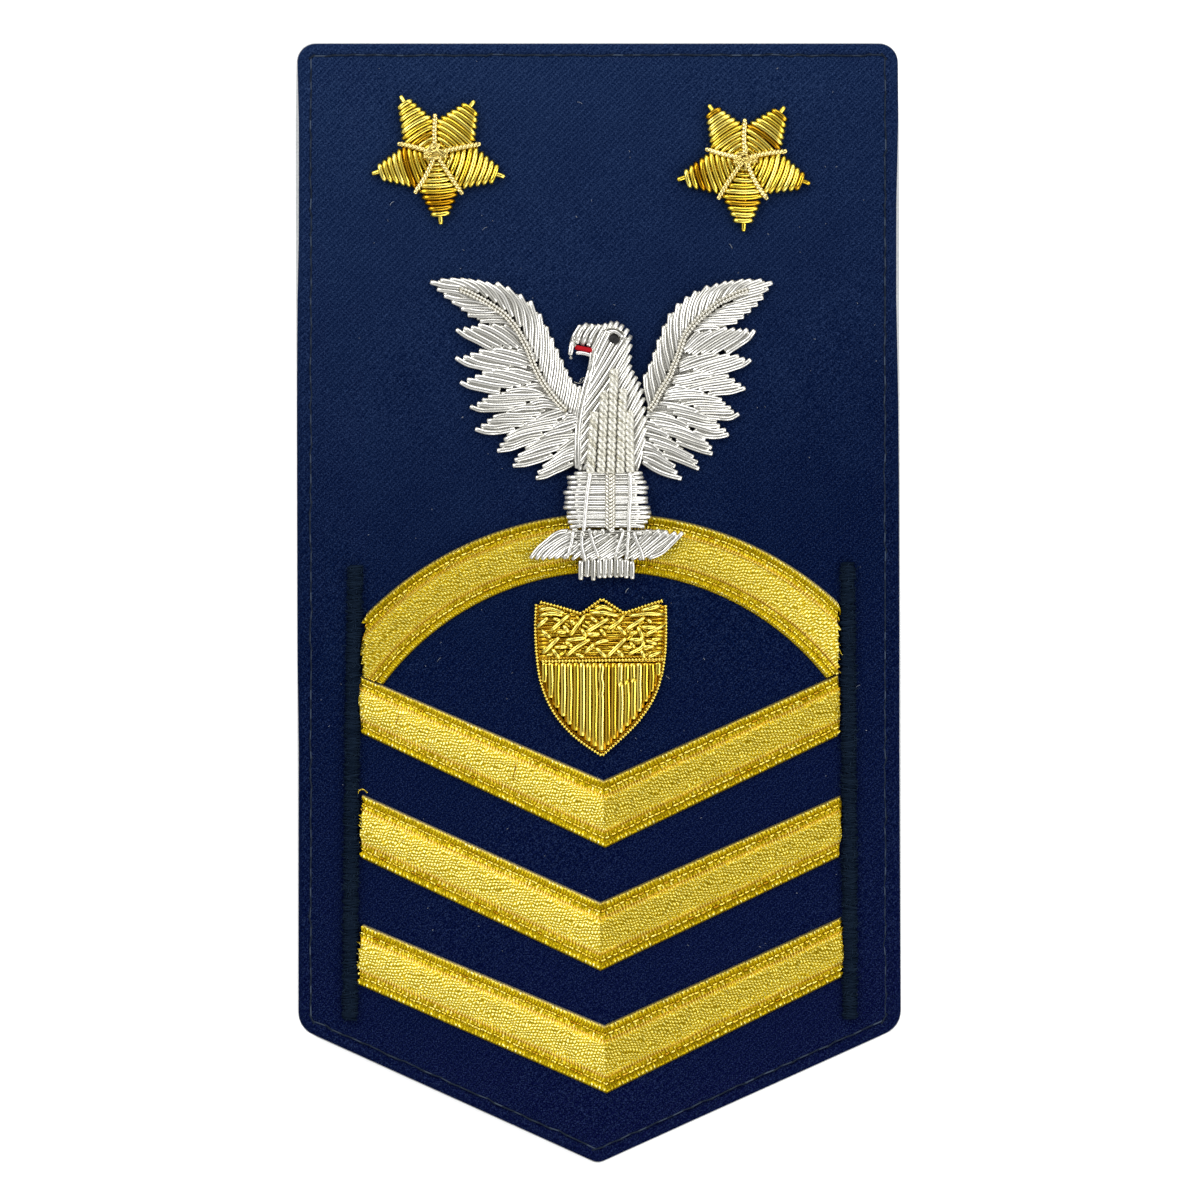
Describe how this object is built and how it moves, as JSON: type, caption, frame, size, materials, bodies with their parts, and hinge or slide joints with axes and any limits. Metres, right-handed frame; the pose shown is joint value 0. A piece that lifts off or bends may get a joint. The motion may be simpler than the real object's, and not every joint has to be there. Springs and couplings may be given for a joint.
{
  "type": "rank chevron patch",
  "caption": "Pointed navy cloth sleeve patch with gold lace chevrons and rocker, wire-embroidered eagle, shield and stars.",
  "frame": {"origin": "centre of the patch's outline on the flat back, so the patch lies on Z = 0", "axes": "+X across the patch to the viewer's right, +Y up towards the stars, +Z out of the embroidered face"},
  "size_m": [0.1018, 0.19, 0.0058],
  "materials": {
    "backing": "matt pressed felt",
    "navy_twill": "matt wool twill",
    "gold_lace": "metallic woven lace",
    "dark_thread": "satin stitched thread",
    "gold_wire": "bright coiled wire",
    "silver_wire": "bright coiled wire",
    "pale_cord": "twisted wire cord",
    "red_thread": "satin stitched thread",
    "eye_thread": "glossy bead"
  },
  "bodies": {
    "root": {"backing_sheet": "backing", "cloth_panel": "navy_twill", "rocker_lace": "gold_lace", "upper_chevron": "gold_lace", "middle_chevron": "gold_lace", "lower_chevron": "gold_lace", "left_end_bar": "dark_thread", "right_end_bar": "dark_thread", "left_star": "gold_wire", "right_star": "gold_wire", "left_star_cords": "pale_cord", "right_star_cords": "pale_cord", "left_wing": "silver_wire", "right_wing": "silver_wire", "left_quill": "pale_cord", "right_quill": "pale_cord", "eagle_body": "silver_wire", "eye": "eye_thread", "tongue": "red_thread", "lower_beak": "silver_wire", "breast_braid_1": "pale_cord", "breast_braid_2": "pale_cord", "breast_braid_3": "pale_cord", "breast_braid_4": "pale_cord", "breast_braid_5": "pale_cord", "tail_block": "silver_wire", "tail_strand_left": "silver_wire", "tail_strand_right": "silver_wire", "tail_braid": "pale_cord", "perch": "silver_wire", "tail_tip": "silver_wire", "shield_chief": "gold_wire", "shield_stripes": "gold_wire", "shield_border": "gold_wire", "shield_divider": "gold_wire"}
  },
  "joints": []
}
